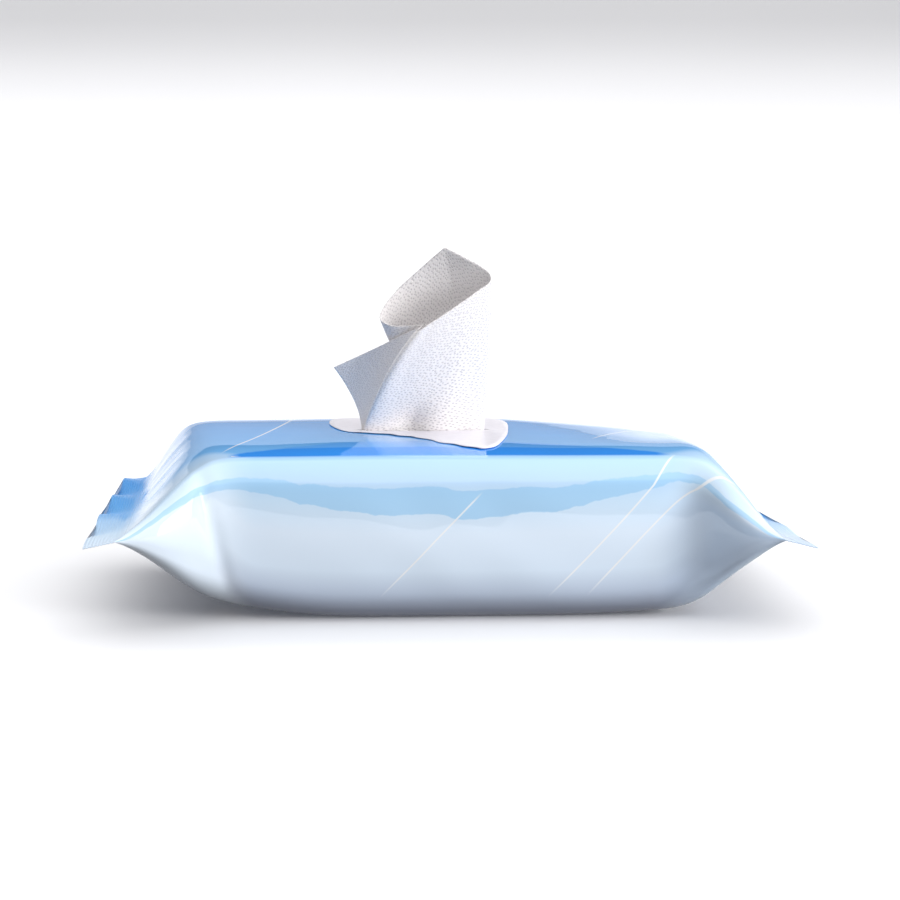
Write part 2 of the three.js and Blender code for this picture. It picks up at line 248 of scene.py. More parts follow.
def painted_gusset_light(tree, colour, u, v):
    """Painted light: both gussets are painted a paler blue, from below the ridge as far as the underside, to
    stand for the light they catch.
    """
    on_front = add(tree, "ShaderNodeMapRange", {0: v, 1: -3.0, 2: -14.0}, interpolation_type="SMOOTHSTEP")
    above_base = add(tree, "ShaderNodeMapRange", {0: v, 1: -66.0, 2: -52.0}, interpolation_type="SMOOTHSTEP")
    on_front = add(tree, "ShaderNodeMath", {0: on_front, 1: above_base}, operation="MULTIPLY")
    # Each gusset's paler tint is painted light.
    for start, end, painted_light_tint in ((-66.0, -84.0, "#e3f0fd"), (64.0, 84.0, "#cfe5ff")):
        gusset = add(
            tree, "ShaderNodeMapRange", {0: u, 1: start, 2: end}, interpolation_type="SMOOTHSTEP"
        )
        gusset = add(tree, "ShaderNodeMath", {0: gusset, 1: on_front}, operation="MULTIPLY")
        gusset = add(tree, "ShaderNodeMath", {0: gusset, 1: 0.85}, operation="MULTIPLY")
        colour = add(tree, "ShaderNodeMix", {0: gusset, 6: colour, 7: ink(painted_light_tint)}, out=2, data_type="RGBA")
    return colour


def print_lines(tree, colour, u, v):
    """Thin curved lines left unprinted, so that the white layer shows."""
    # Each line runs where u = a + b v + c v squared, from v = low to v = high.
    lines = [
        (16.9, 0.78, -0.0016, -48.0, -8.0),
        (69.4, 0.68, -0.0022, -48.0, 6.0),
        (82.6, 0.80, 0.0, -48.0, 10.0),
        (-84.0, 0.55, -0.0018, 12.0, 96.0),
        (34.0, 0.35, 0.0009, 40.0, 96.0),
    ]
    drawn = 0.0
    for a, b, c, low, high in lines:
        bend = add(tree, "ShaderNodeMath", {0: v, 1: c, 2: b}, operation="MULTIPLY_ADD")
        path = add(tree, "ShaderNodeMath", {0: v, 1: bend, 2: a}, operation="MULTIPLY_ADD")
        off = add(tree, "ShaderNodeMath", {0: u, 1: path}, operation="SUBTRACT")
        off = add(tree, "ShaderNodeMath", {0: off}, operation="ABSOLUTE")
        line = add(tree, "ShaderNodeMapRange", {0: off, 1: 0.5, 2: 0.25}, interpolation_type="SMOOTHSTEP")
        start = add(tree, "ShaderNodeMapRange", {0: v, 1: low, 2: low + 9.0})
        stop = add(tree, "ShaderNodeMapRange", {0: v, 1: high, 2: high - 4.0})
        line = add(tree, "ShaderNodeMath", {0: line, 1: start}, operation="MULTIPLY")
        line = add(tree, "ShaderNodeMath", {0: line, 1: stop}, operation="MULTIPLY")
        drawn = add(tree, "ShaderNodeMath", {0: drawn, 1: line}, operation="MAXIMUM")
    faded = add(tree, "ShaderNodeMath", {0: drawn, 1: 0.85}, operation="MULTIPLY")
    return add(tree, "ShaderNodeMix", {0: faded, 6: colour, 7: ink("#f2f4f7")}, out=2, data_type="RGBA")


def printed_film():
    """Clear polyester laminated to white polyethylene and gravure printed on the inside: a glossy, slightly
    rippled skin over an even print that runs from mid blue on top to almost white low on the sides.
    Painted shade darkens the lower edges, and painted light pales the gussets and the ridge towards both
    ends."""
    material, tree, skin = new_material("gravure_printed_film_with_painted_light")
    # The film's own map, in millimetres: u runs along the pack and v round it, from the front ridge up.
    place = add(tree, "ShaderNodeSeparateXYZ", {0: add(tree, "ShaderNodeUVMap", uv_map="cloth")})
    u = add(tree, "ShaderNodeMath", {0: place.node.outputs[0], 1: 1 / MM}, operation="MULTIPLY")
    v = add(tree, "ShaderNodeMath", {0: place.node.outputs[1], 1: 1 / MM}, operation="MULTIPLY")
    # The wave and the lens share one arch over the length of the pack and one wobble of their edges.
    wobble = add(tree, "ShaderNodeTexNoise", {"W": u, "Scale": 0.045, "Detail": 4.0}, noise_dimensions="1D")
    arch = add(tree, "ShaderNodeMath", {0: u, 1: -2.0}, operation="SUBTRACT")
    arch = add(tree, "ShaderNodeMath", {0: arch, 1: 74.0}, operation="DIVIDE")
    arch = add(tree, "ShaderNodeMath", {0: arch, 1: arch}, operation="MULTIPLY")
    arch = add(tree, "ShaderNodeMath", {0: 1.0, 1: arch}, operation="SUBTRACT")
    arch = add(tree, "ShaderNodeMath", {0: arch, 1: 0.0}, operation="MAXIMUM")
    colour = ground_print_and_painted_light(tree, u, v)
    colour = print_wave(tree, colour, v, wobble, arch)
    colour = print_lens(tree, colour, v, wobble, arch)
    colour = painted_gusset_light(tree, colour, u, v)
    tree.links.new(print_lines(tree, colour, u, v), skin.inputs["Base Color"])
    # The jaws leave the seals duller than the stretched film.
    sealed = add(tree, "ShaderNodeMath", {0: u}, operation="ABSOLUTE")
    dull = add(tree, "ShaderNodeMapRange", {0: sealed, 1: 97.0, 2: 104.0, 3: 0.022, 4: 0.3})
    tree.links.new(dull, skin.inputs["Roughness"])
    skin.inputs["IOR"].default_value = 1.62
    # Shallow ripples 12 mm apart, longer along the pack, from the pull of the wrapping machine.
    object_place = add(tree, "ShaderNodeTexCoord", out="Object")
    stretched = add(tree, "ShaderNodeMapping", {0: object_place, "Scale": (0.3, 1.0, 1.0)})
    ripple = add(tree, "ShaderNodeTexNoise", {"Vector": stretched, "Scale": 80.0, "Detail": 1.5})
    bump = add(tree, "ShaderNodeBump", {"Height": ripple, "Distance": 0.0004, "Strength": 0.15})
    tree.links.new(bump, skin.inputs["Normal"])
    return material


def label_film():
    """White polypropylene label, die cut and varnished: an even satin white with soft, wide highlights."""
    material, tree, skin = new_material("die_cut_white_label_film")
    object_place = add(tree, "ShaderNodeTexCoord", out="Object")
    # Paper-fine mottle about 3 mm across, faint enough only to break up the flat white.
    mottle = add(tree, "ShaderNodeTexNoise", {"Vector": object_place, "Scale": 330.0, "Detail": 3.0})
    shade = add(tree, "ShaderNodeValToRGB", {"Fac": mottle}, stops=[(0.3, "#e6e3ea"), (0.7, "#eeebf1")])
    tree.links.new(shade, skin.inputs["Base Color"])
    rough = add(tree, "ShaderNodeMapRange", {0: mottle, 1: 0.3, 2: 0.7, 3: 0.32, 4: 0.4})
    tree.links.new(rough, skin.inputs["Roughness"])
    return material


def moist_nonwoven():
    """Spunlaced viscose and polyester, pearl embossed and moist: matt white cloth with rows of small pits."""
    material, tree, skin = new_material("pearl_embossed_spunlace_nonwoven")
    flat = add(tree, "ShaderNodeUVMap", uv_map="cloth")
    # Pits 0.4 mm across in staggered rows 1.2 mm apart.
    rows = add(tree, "ShaderNodeMapping", {0: flat, "Rotation": (0, 0, 0.5), "Scale": (740.0, 1020.0, 1.0)})
    pits = add(
        tree, "ShaderNodeTexVoronoi", {"Vector": rows, "Scale": 1.0, "Randomness": 0.55},
        voronoi_dimensions="2D",
    )
    pit_and_shade = add(tree, "ShaderNodeMapRange", {0: pits, 1: 0.12, 2: 0.34}, interpolation_type="SMOOTHSTEP")
    # Fibres: streaks 0.2 mm wide and a few millimetres long.
    lay = add(tree, "ShaderNodeMapping", {0: flat, "Scale": (900.0, 5000.0, 1.0)})
    fibres = add(tree, "ShaderNodeTexNoise", {"Vector": lay, "Scale": 1.0, "Detail": 4.0})
    cloth = add(tree, "ShaderNodeValToRGB", {"Fac": fibres}, stops=[(0.3, "#ece7e7"), (0.7, "#f7f4f4")])
    # The pits are painted a darker grey: painted shade in their hollows.
    colour = add(
        tree, "ShaderNodeMix", {0: pit_and_shade, 6: ink("#d3cfd1"), 7: cloth}, out=2, data_type="RGBA"
    )
    tree.links.new(colour, skin.inputs["Base Color"])
    height = add(tree, "ShaderNodeMath", {0: fibres, 1: 0.25, 2: pit_and_shade}, operation="MULTIPLY_ADD")
    bump = add(tree, "ShaderNodeBump", {"Height": height, "Distance": 0.00022, "Strength": 0.6})
    tree.links.new(bump, skin.inputs["Normal"])
    skin.inputs["Roughness"].default_value = 0.85
    skin.inputs["Sheen Weight"].default_value = 0.15
    skin.inputs["Sheen Roughness"].default_value = 0.5
    return material


def matt_stage(name, code, lighter):
    """A painted studio surface, plain and pale, with a grain too faint to see."""
    material, tree, skin = new_material(name)
    object_place = add(tree, "ShaderNodeTexCoord", out="Object")
    grain = add(tree, "ShaderNodeTexNoise", {"Vector": object_place, "Scale": 3.0})
    shade = add(tree, "ShaderNodeValToRGB", {"Fac": grain}, stops=[(0.3, code), (0.7, lighter)])
    tree.links.new(shade, skin.inputs["Base Color"])
    skin.inputs["Roughness"].default_value = 0.95
    return material


# ---- The film ----


def film_outline():
    """One turn round the film from the middle of its underside. Each point has its side (-1 front, 1 back)
    and level (-1 base, 1 top) on straight runs, its angle on corners, and its place in the print."""
    turn = []

    def run(kind, count, v_from, v_to, **place):
        for k in range(count):
            t = k / count
            turn.append(dict(kind=kind, t=t, v=mix(v_from, v_to, t), **place))

    run("flat", 16, PRINT_START, -59, side=(0, -1), level=-1)
    run("corner", 9, -59, -47, centre=(-1, -1), turn=(-90, -180))
    run("wall", 22, -47, -6, side=-1, level=(-1, 1))
    run("corner", 12, -6, 6, centre=(-1, 1), turn=(180, 90))
    run("flat", 56, 6, 96, side=(-1, 1), level=1)
    run("corner", 9, 96, 108, centre=(1, 1), turn=(90, 0))
    run("wall", 16, 108, 150, side=1, level=(1, -1))
    run("corner", 9, 150, 161, centre=(1, -1), turn=(0, -90))
    run("flat", 16, 161, PRINT_END, side=(1, 0), level=-1)
    return turn


def section_points(outline, half_width, half_height, radius):
    """(y, z) of every point of the outline at one section, before it bulges."""
    inner_y, inner_z = half_width - radius, half_height - radius
    points = []
    for p in outline:
        if p["kind"] == "flat":
            points.append((mix(*p["side"], p["t"]) * inner_y, p["level"] * half_height))
        elif p["kind"] == "wall":
            points.append((p["side"] * half_width, mix(*p["level"], p["t"]) * inner_z))
        else:
            angle = math.radians(mix(*p["turn"], p["t"]))
            side, level = p["centre"]
            y = side * inner_y + radius * math.cos(angle)
            z = level * inner_z + radius * math.sin(angle)
            points.append((y, z))
    return np.array(points)


def shoulder(y):
    """How far the top of the film has sunk towards the front and back edges."""
    return 1.1 * clamp01((-y - 20) / 22) ** 2 + 0.3 * clamp01((y - 30) / 12) ** 2


def film_levels(end, taper, in_stack):
    """The heights of the film's top and base at one station."""
    closing = mix(taper, ease(taper), 0.4)
    seal_middle = sum(end["seal_height"]) / 2
    lift = float(clamp01((in_stack - FLAT_SHARE) / (1 - FLAT_SHARE))) ** 2
    top = mix(PACK_TOP, seal_middle + SEAL / 2, closing)
    base = mix(LAP + end["base_rise"] * lift, seal_middle - SEAL / 2, closing)
    return top, base


def film_reach(end, along, across):
    """How far from the middle of the pack a station lies, for each place from front to back."""
    stops = [(0.0, 0.0), end["stack"], end["root"], end["tip"]]
    last = max(math.ceil(along), 1)
    near, far = mix(*stops[last - 1], across), mix(*stops[last], across)
    return mix(near, far, along - (last - 1))


def seal_lift(end, along, taper, across):
    """How the seal tilts, waves along its edge and droops at its front corner."""
    hanging = float(clamp01((along - 1.75) / 1.25))
    wave = end["wave"] * hanging * np.sin(2 * math.pi * end["waves"] * across + end["phase"])
    wave *= clamp01(across * 5 + 0.25)
    tilt = (across - 0.5) * (end["seal_height"][1] - end["seal_height"][0]) * taper
    droop = end["droop"] * float(clamp01(along - 2)) * (1 - across) ** 3
    return tilt + wave - droop


def film_ring(outline, u):
    """The film's points at station u: 0 is the middle, 1 the stack's edge, 2 the seal's root, 3 its tip."""
    end = LEFT if u < 0 else RIGHT
    along = abs(u)
    taper = float(clamp01(along - 1))
    in_stack = min(along, 1.0)
    top, base = film_levels(end, taper, in_stack)
    half_height = (top - base) / 2
    half_width = mix(HALF_WIDTH, SEAL_HALF_WIDTH, taper)
    radius = min(mix(CORNER, SEAL / 2, taper**1.6), 0.9 * half_height)
    y, z = section_points(outline, half_width, half_height, radius).T
    level = z / half_height
    across = clamp01((y / half_width + 1) / 2)
    up = clamp01(level)
    dome = (FILM_DOME * (1 - (y / half_width) ** 2) - shoulder(y)) * (1 - taper) * up
    dome += end["puff"] * math.sin(math.pi * taper) * (1 - (y / half_width) ** 6) * up
    # Over the stack only the top falls. Towards the seal the base follows it, so that the two films meet.
    fall = end["back_fall"] * in_stack**2 * across * (1 - 0.7 * taper) * mix(up, 1, taper)
    # The walls swell between their rounded edges, most in the middle of the pack and again in the gussets.
    outward = clamp01((np.abs(y) - (half_width - radius)) / max(radius, 1e-6)) ** 2
    swell = (2.2 + 1.6 * (1 - in_stack**2)) * (1 - taper) + 3.2 * math.sin(math.pi * taper) ** 1.5
    bulge = swell * (1 - level**2) * outward * np.sign(y)
    height = (top + base) / 2 + z + dome - fall + seal_lift(end, along, taper, across)
    return np.column_stack([end["sign"] * film_reach(end, along, across), y + bulge, height])


def film_stations():
    """The stations of the film's sections from the left seal's tip to the right one's."""
    to_stack, to_root, to_tip = np.linspace(0, 1, 66), np.linspace(1, 2, 34), np.linspace(2, 3, 37)
    half = list(to_stack[1:]) + list(to_root[1:]) + list(to_tip[1:])
    return [-u for u in reversed(half)] + [0.0] + half


def slit_share(x, y):
    """Below 1 inside the slit of the film, which is cut a little larger than the label's."""
    reach = (x - SLIT["x"]) / (SLIT["half_length"] + 2.2)
    room = (SLIT["half_width"] + 2.0) * np.maximum(1 - reach**2, 1e-6)
    return np.where(np.abs(reach) < 1, np.abs(y - SLIT["y"]) / room, 9.0)


def ripples(points, stations):
    """Slow dents and swells of the filled film, in millimetres along its normal, none on the seals."""
    x, y, z = points.T
    fade = clamp01((1.92 - np.abs(stations)) / 0.4)
    slow = 0.26 * np.sin(x / 15.0 + 0.09 * z + 1.0) * np.sin(z / 11.0 + y / 31.0)
    quick = 0.10 * np.sin(x / 6.3 + z / 9.0 + 2.0 * np.sin(x / 23.0)) * np.cos(y / 13.0 - z / 7.0)
    # Pleats run back from each seal, of uneven width, and fade out on the body.
    pleat = np.sin(y / 5.2 + 0.9 * np.sin(y / 17.0) + x / 40.0)
    pleat += 0.7 * np.sin(y / 2.9 + 1.5 * np.sin(y / 11.0))
    gusset = 0.12 * pleat * clamp01((np.abs(x) - 84) / 16)
    # A fold runs down each gusset from the top corner, sharp on the left and soft on the right.
    on_wall = clamp01((z - 8) / 10) * clamp01((52 - z) / 8)
    fold = -1.0 * np.exp(-(((x + 78.5 + 0.22 * (z - 45)) / 2.6) ** 2)) * on_wall
    fold -= 1.1 * np.exp(-(((x - 79 + 0.1 * (z - 45)) / 8.0) ** 2)) * on_wall
    return (slow + quick + gusset) * fade + fold


def soften_along(rings, stations, reach):
    """Evens the film out along the pack, so that walls run into gussets without a crease. The seals stay."""
    span = 3 * reach
    steps = np.arange(-span, span + 1)
    weights = np.exp(-0.5 * (steps / reach) ** 2)
    weights /= weights.sum()
    padded = np.pad(rings, ((span, span), (0, 0), (0, 0)), mode="edge")
    even = sum(w * padded[span + k : span + k + len(rings)] for k, w in zip(steps, weights))
    share = clamp01((1.95 - np.abs(stations)) / 0.35)[:, None, None]
    return mix(rings, even, share)


def dented(rings, stations):
    """The film's points, one row a station, after its ripples are laid on along its normal."""
    rows, columns = rings.shape[:2]
    step_along = np.gradient(rings, axis=0)
    step_round = np.roll(rings, -1, axis=1) - np.roll(rings, 1, axis=1)
    normal = np.cross(step_round, step_along)
    normal /= np.maximum(np.linalg.norm(normal, axis=2, keepdims=True), 1e-9)
    outward = np.sign((normal * (rings - [0, 0, PACK_TOP / 2])).sum(axis=2).mean())
    # The base rests flat, and the film under the label is held flat by it.
    on_base = clamp01((rings[..., 2:] - 1.0) / 5.0)
    under_label = clamp01((slit_share(rings[..., 0], rings[..., 1]) - 3) / 4)[..., None]
    shift = ripples(rings.reshape(-1, 3), np.repeat(stations, columns)).reshape(rows, columns, 1)
    shift = shift * on_base * np.where(rings[..., 2:] > OVER_STACK, under_label, 1)
    return (rings + normal * outward * shift).reshape(-1, 3)


def film_faces(points, print_u, print_v, rows, columns):
    """The film's faces and their places in the print, with the slit left open."""
    faces, uv = [], []
    share = slit_share(points[:, 0], points[:, 1])
    for i in range(rows - 1):
        for j in range(columns):
            k = (j + 1) % columns
            corners = (i * columns + j, (i + 1) * columns + j, (i + 1) * columns + k, i * columns + k)
            if points[corners[0]][2] > OVER_STACK and np.mean([share[c] for c in corners]) < 1:
                continue
            faces.append(corners)
            for row, column in ((i, j), (i + 1, j), (i + 1, j + 1), (i, j + 1)):
                uv.append((print_u[row] * MM, print_v[column] * MM))
    # The seals' tips are closed by strips between the upper and the lower film.
    for row, flip in ((0, False), (rows - 1, True)):
        for j in range(columns // 2 - 1):
            a, b = row * columns + j, row * columns + j + 1
            c, d = row * columns + columns - 2 - j, row * columns + columns - 1 - j
            faces.append((d, c, b, a) if flip else (a, b, c, d))
            uv += [(print_u[row] * MM, 0.2)] * 4
    return faces, uv


def build_film(material):
    outline = film_outline()
    stations = np.array(film_stations())
    rings = soften_along(np.array([film_ring(outline, u) for u in stations]), stations, 5)
    rows, columns = rings.shape[:2]
    points = dented(rings, stations)
    print_u = rings[:, :, 0].mean(axis=1)
    print_v = np.array([p["v"] for p in outline] + [PRINT_END])
    faces, uv = film_faces(points, print_u, print_v, rows, columns)
    film = make_mesh("film_wrap_web", points, faces, material, uv)
    place = film.data.attributes.new("seal_place", "FLOAT", "POINT")
    place.data.foreach_set("value", np.repeat(np.abs(stations) - 2, columns).astype(np.float32))
    crimping = film.modifiers.new("crimp", "NODES")
    crimping.node_group = crimp_tree(material)
    set_inputs(crimping, {"Ribs": 9.0, "Rib height": 0.12 * MM})
    thicken(film, FILM_WALL, -1.0)
    return plain_copy(film, "film_wrap_printed")


def crimp_tree(material):
    """A node tree that presses the jaws' ribs into both seals, through both films at once."""
    tree = bpy.data.node_groups.new("crimped_seals", "GeometryNodeTree")
    face = tree.interface
    face.new_socket("Geometry", in_out="INPUT", socket_type="NodeSocketGeometry")
    for name, value in (("Ribs", 9.0), ("Rib height", 0.00012)):
        face.new_socket(name, in_out="INPUT", socket_type="NodeSocketFloat").default_value = value
    face.new_socket("Geometry", in_out="OUTPUT", socket_type="NodeSocketGeometry")
    given = add(tree, "NodeGroupInput").node.outputs
    place = add(tree, "GeometryNodeInputNamedAttribute", {"Name": "seal_place"}, data_type="FLOAT")
    turn = add(tree, "ShaderNodeMath", {0: place, 1: given["Ribs"]}, operation="MULTIPLY")
    turn = add(tree, "ShaderNodeMath", {0: turn, 1: 2 * math.pi}, operation="MULTIPLY")
    rib = add(tree, "ShaderNodeMath", {0: turn}, operation="SINE")
    rib = add(tree, "ShaderNodeMath", {0: rib, 1: given["Rib height"]}, operation="MULTIPLY")
    in_seal = add(tree, "ShaderNodeMath", {0: place, 1: 0.0}, operation="GREATER_THAN")
    rib = add(tree, "ShaderNodeMath", {0: rib, 1: in_seal}, operation="MULTIPLY")
    lift = add(tree, "ShaderNodeCombineXYZ", {2: rib})
    pressed = add(tree, "GeometryNodeSetPosition", {"Geometry": given[0], "Offset": lift})
    whole = add(tree, "GeometryNodeRealizeInstances", {0: pressed})
    painted = add(tree, "GeometryNodeSetMaterial", {"Geometry": whole, "Material": material})
    add(tree, "NodeGroupOutput", {0: painted})
    return tree


# ---- Heights over and under the stack ----


def top_fall(x, y):
    """How far the film's top has fallen over the stack at one place."""
    across = (y / HALF_WIDTH + 1) / 2
    left = np.abs(x) / mix(*LEFT["stack"], across)
    right = np.abs(x) / mix(*RIGHT["stack"], across)
    on_left = x < 0
    share = np.where(on_left, left, right)
    return np.where(on_left, LEFT["back_fall"], RIGHT["back_fall"]) * share**2 * across


def roof(x, y):
    """The underside of the film over the stack, as the layers below it follow it."""
    held = np.clip(y, -BEND, BEND)
    dome = 0.5 * (1 - (held / HALF_WIDTH) ** 2)
    return PACK_TOP + dome - top_fall(x, held) - 0.3 - 0.5 * np.abs(y - held)


def film_top(x, y):
    """The outside of the film over the stack."""
    return PACK_TOP + FILM_DOME * (1 - (y / HALF_WIDTH) ** 2) - shoulder(y) - top_fall(x, y)


# ---- The label ----

# Its outline from the left end round the front, measured from the slit's middle. The front edge slants.
LABEL_OUTLINE = [
    (-29, 3.5), (-24.5, -4), (-15, -8), (-8, -13.5), (-2, -19), (4.5, -29), (11, -34.5), (17.5, -39.5),
    (23, -35.5), (27, -18), (29, 1), (29.5, 22), (25, 32.5), (12, 35), (-18, 35), (-29.5, 32.5), (-32, 19),
]


def closed_spline(corners, per_span):
    """A smooth closed line through the corners."""
    p = np.array(corners, float)
    before, after, further = np.roll(p, 1, 0), np.roll(p, -1, 0), np.roll(p, -2, 0)
    line = []
    for i in range(len(p)):
        a, b, c, d = before[i], p[i], after[i], further[i]
        second, third = 2 * a - 5 * b + 4 * c - d, 3 * b - a - 3 * c + d
        for t in np.arange(per_span) / per_span:
            line.append(0.5 * (2 * b + (c - a) * t + second * t**2 + third * t**3))
    return np.array(line)


def build_label(material):
    edge = closed_spline(LABEL_OUTLINE, 14)
    # The slanted front edge is slightly wavy.
    wave = 0.35 * np.sin(np.arange(len(edge)) * 0.42) * (edge[:, 1] < -3) * (edge[:, 0] < 20)
    edge = edge + np.column_stack([wave, wave])
    angle = np.arctan2(edge[:, 1] / SLIT["half_width"], edge[:, 0] / SLIT["half_length"])
    c, s = np.cos(angle), np.sin(angle)
    slit = np.column_stack([
        (SLIT["half_length"] - 1.4) * np.sign(c) * np.abs(c) ** 1.35,
        (SLIT["half_width"] + 0.4) * np.sign(s) * np.abs(s) ** 1.35,
    ])
    rings = []
    for t in np.linspace(0, 1, 15):
        plan = mix(slit, edge, t) + [SLIT["x"], SLIT["y"]]
        rings.append(np.column_stack([plan, film_top(plan[:, 0], plan[:, 1]) + 0.25]))
    faces = [tuple(reversed(f)) for f in grid_faces(len(rings), len(edge), closed=True)]
    label = make_mesh("dispensing_label_film", np.concatenate(rings), faces, material)
    return thicken(label, LABEL_WALL, -1.0)


# ---- The drawn wipe ----

# The cloth above the slit, followed along its winding: the wing, a hidden pleat behind the front panel, the
# front panel, the turn on the right, the back panel that rises into the flap, the curl, and the end inside
# the roll. Each stop: top edge x, y, z; foot x and y share; bow in x and y. From the slit's middle.
WINDING = [
    (-30.3, 5.5, 75.8, -20.9, 0.7, 2.2, 1.0),
    (-16.4, 1.6, 82.6, -19.6, 0.5, 1.2, 0.8),
    (-3.2, -3.6, 89.4, -17.4, 0.4, -0.6, 0.5),
    (-0.6, -5.2, 90.6, -16.6, 0.2, -1.2, 0.0),
    (-1.8, -8.8, 90.0, -19.0, 0.0, -2.2, -2.4),
    (-3.0, -11.4, 89.2, -20.5, -0.4, -2.9, -3.6),
    (-2.0, -12.4, 89.8, -20.1, -0.7, -2.6, -4.2),
    (3.5, -11.4, 93.2, -13.0, -0.9, -1.4, -4.0),
    (11.5, -8.6, 98.2, -2.0, -0.9, -0.3, -3.4),
    (19.2, -4.6, 103.2, 12.0, -0.9, 0.3, -2.4),
    (22.6, -1.8, 105.4, 19.8, -0.6, 0.3, -0.9),
    (23.1, -0.6, 106.5, 20.5, 0.1, 0.4, 0.0),
    (22.4, 0.6, 108.3, 20.0, 0.6, 0.3, 0.6),
    (20.4, 2.0, 109.9, 19.2, 0.8, 0.3, 1.0),
    (15.0, 4.8, 112.8, 17.6, 0.9, 0.7, 2.2),
    (9.6, 7.4, 115.5, 16.0, 0.9, 0.9, 2.8),
    (7.6, 8.3, 116.2, 15.1, 0.9, 1.0, 3.0),
    (6.0, 8.9, 114.9, 14.8, 0.9, 0.9, 3.0),
    (-1.0, 10.8, 108.6, 12.6, 0.9, 0.2, 3.4),
    (-8.6, 11.0, 101.6, 10.0, 0.8, -1.0, 3.0),
    (-13.4, 8.0, 95.6, 7.4, 0.6, -1.8, 2.4),
    (-14.4, 4.0, 92.4, 6.2, 0.4, -1.6, 1.8),
    (-11.8, 0.8, 90.8, 6.2, 0.2, -0.8, 1.2),
    (-3.4, -1.2, 90.6, 9.2, 0.0, 0.0, 0.6),
    (5.6, -1.0, 91.4, 13.6, 0.0, 0.0, 0.4),
]
SHEET_FOOT = 53.0


def along_spline(stops, count):
    """Rows of stops, evenly spaced along a smooth curve through them."""
    p = np.array(stops, float)
    gaps = np.sqrt(((p[1:, :3] - p[:-1, :3]) ** 2).sum(1)) + 1e-6
    t = np.concatenate([[0], np.cumsum(gaps)])
    slope = np.gradient(p, t, axis=0)
    at = np.linspace(0, t[-1], count)
    i = np.clip(np.searchsorted(t, at, side="right") - 1, 0, len(t) - 2)
    h = (t[i + 1] - t[i])[:, None]
    s = ((at - t[i]) / (t[i + 1] - t[i]))[:, None]
    return (
        (2 * s**3 - 3 * s**2 + 1) * p[i] + (s**3 - 2 * s**2 + s) * h * slope[i]
        + (3 * s**2 - 2 * s**3) * p[i + 1] + (s**3 - s**2) * h * slope[i + 1]
    ), at


def standing_cloth():
    """Points of the cloth above the slit: a row for each place along its winding, from the foot up."""
    stops, distance = along_spline(WINDING, 230)
    rise = np.linspace(0, 1, 84)[None, :]
    top = stops[:, :3]
    foot_x, foot_share, bow_x, bow_y = (stops[:, k : k + 1] for k in (3, 4, 5, 6))
    room = SLIT["half_width"] * (1 - (foot_x / SLIT["half_length"]) ** 2) - 0.5
    bow = 4 * rise * (1 - rise)
    x = SLIT["x"] + mix(foot_x, top[:, 0:1], rise) + bow * bow_x
    y = SLIT["y"] + mix(foot_share * room, top[:, 1:2], rise**1.3) + bow * bow_y
    z = mix(SHEET_FOOT, top[:, 2:3], rise)
    # The cloth is drawn in at the slit, so soft pleats run up from it and fade out.
    pleat = 0.55 * np.sin(distance[:, None] / 4.1 + 1.3) * clamp01(1.6 - 2.2 * rise) * clamp01(rise * 6)
    # A small hollow lies low on the front panel.
    hollow = 2.6 * np.exp(-((foot_x + 6.5) / 5.0) ** 2) * np.exp(-((rise - 0.1) / 0.13) ** 2)
    y = y + pleat * (foot_share < -0.5) + hollow * (foot_share < -0.7)
    x = x + 0.25 * np.sin(z / 7.0 + distance[:, None] / 9.0) * bow
    return np.stack([x, y, z + 0 * x], axis=2)


def lying_cloth():
    """Points of the rest of the cloth, which still lies on the stack, folded once at the back."""
    across, run = np.linspace(-70, 70, 60), np.linspace(-47.5, 82.0, 72)
    x, run_y = np.meshgrid(across, run, indexing="ij")
    y = np.where(run_y < 47.5, run_y, 95.0 - run_y)
    lower = 0.75 * ease(clamp01((run_y - 46.0) / 3.0))
    z = roof(x, y) - 1.15 - lower + 0.08 * np.sin(x / 5 + y / 9)
    return np.stack([x, y, z], axis=2)


def steps_along(line):
    """The distance of each point of a line from its start."""
    return np.concatenate([[0], np.cumsum(np.linalg.norm(np.diff(line, axis=0), axis=1))])


def build_drawn_wipe(material):
    standing, lying = standing_cloth(), lying_cloth()
    rows, columns = standing.shape[:2]
    faces = grid_faces(rows, columns)
    widths, heights = steps_along(standing[:, -1]), steps_along(standing[rows // 2])
    uv = [(widths[c // columns] * MM, heights[c % columns] * MM) for f in faces for c in f]
    rest = grid_faces(*lying.shape[:2])
    places = lying.reshape(-1, 3)
    uv += [(places[c, 0] * MM + 0.2, places[c, 1] * MM) for f in rest for c in f]
    faces += [tuple(c + rows * columns for c in f) for f in rest]
    points = np.concatenate([standing.reshape(-1, 3), places])
    return thicken(make_mesh("drawn_wipe_cloth", points, faces, material, uv), DRAWN_CLOTH, 0.0)


# ---- The folded wipes ----


